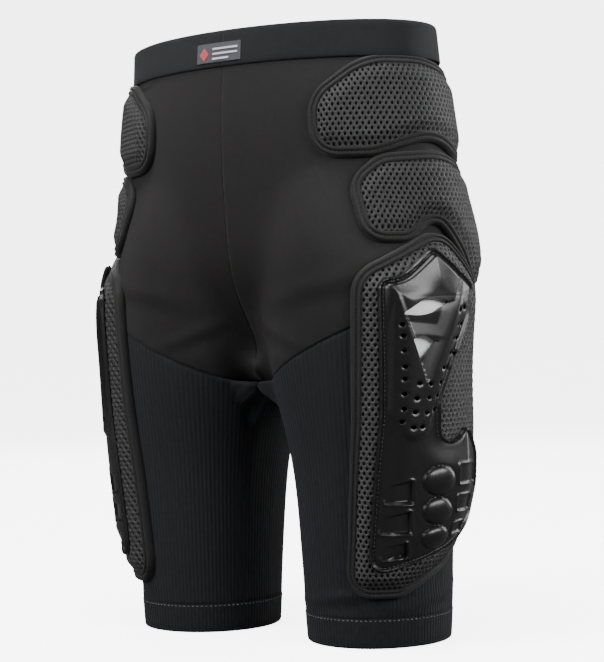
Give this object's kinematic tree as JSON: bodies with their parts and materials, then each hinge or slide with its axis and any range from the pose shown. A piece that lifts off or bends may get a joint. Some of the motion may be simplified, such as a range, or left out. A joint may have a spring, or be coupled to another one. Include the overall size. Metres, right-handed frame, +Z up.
{
  "type": "padded impact shorts",
  "caption": "Knee-length stretch shorts with mesh-covered foam pads over the hips, seat and thighs and a hard moulded shell on each thigh.",
  "frame": {"origin": "centre of the shorts' outline on the ground plane that both leg hems stand on", "axes": "+Z up towards the waist; -Y is the way the wearer faces; +X is the wearer's left side"},
  "size_m": [0.3768, 0.2147, 0.518],
  "materials": {
    "stretch_jersey": "matte stretch jersey",
    "ribbed_knit": "matte ribbed knit",
    "band_knit": "matte fine knit",
    "spacer_mesh": "open spacer mesh",
    "binding_tape": "satin tape",
    "pad_foam": "matte foam",
    "hard_shell": "semi-gloss moulded plastic",
    "window_fabric": "pale textured sheet",
    "label_woven": "woven label",
    "stitch_thread": "pale sewing thread"
  },
  "bodies": {
    "root": {"waistband": "band_knit", "waist_label": "label_woven", "upper_front_left": "stretch_jersey", "upper_front_right": "stretch_jersey", "upper_back_left": "stretch_jersey", "upper_back_right": "stretch_jersey", "leg_front_left": "ribbed_knit", "leg_front_right": "ribbed_knit", "leg_back_left": "ribbed_knit", "leg_back_right": "ribbed_knit", "hem_left": "band_knit", "hem_right": "band_knit", "hip_upper_foam_left": "pad_foam", "hip_upper_cover_left": "spacer_mesh", "hip_upper_binding_left": "binding_tape", "hip_upper_foam_right": "pad_foam", "hip_upper_cover_right": "spacer_mesh", "hip_upper_binding_right": "binding_tape", "hip_lower_foam_left": "pad_foam", "hip_lower_cover_left": "spacer_mesh", "hip_lower_binding_left": "binding_tape", "hip_lower_foam_right": "pad_foam", "hip_lower_cover_right": "spacer_mesh", "hip_lower_binding_right": "binding_tape", "thigh_foam_left": "pad_foam", "thigh_cover_left": "spacer_mesh", "thigh_binding_left": "binding_tape", "thigh_foam_right": "pad_foam", "thigh_cover_right": "spacer_mesh", "thigh_binding_right": "binding_tape", "seat_foam_left": "pad_foam", "seat_cover_left": "spacer_mesh", "seat_binding_left": "binding_tape", "seat_foam_right": "pad_foam", "seat_cover_right": "spacer_mesh", "seat_binding_right": "binding_tape", "tailbone_foam": "pad_foam", "tailbone_cover": "spacer_mesh", "tailbone_binding": "binding_tape", "thigh_shell_left": "hard_shell", "thigh_window_insert_left": "window_fabric", "thigh_shell_right": "hard_shell", "thigh_window_insert_right": "window_fabric"}
  },
  "joints": []
}
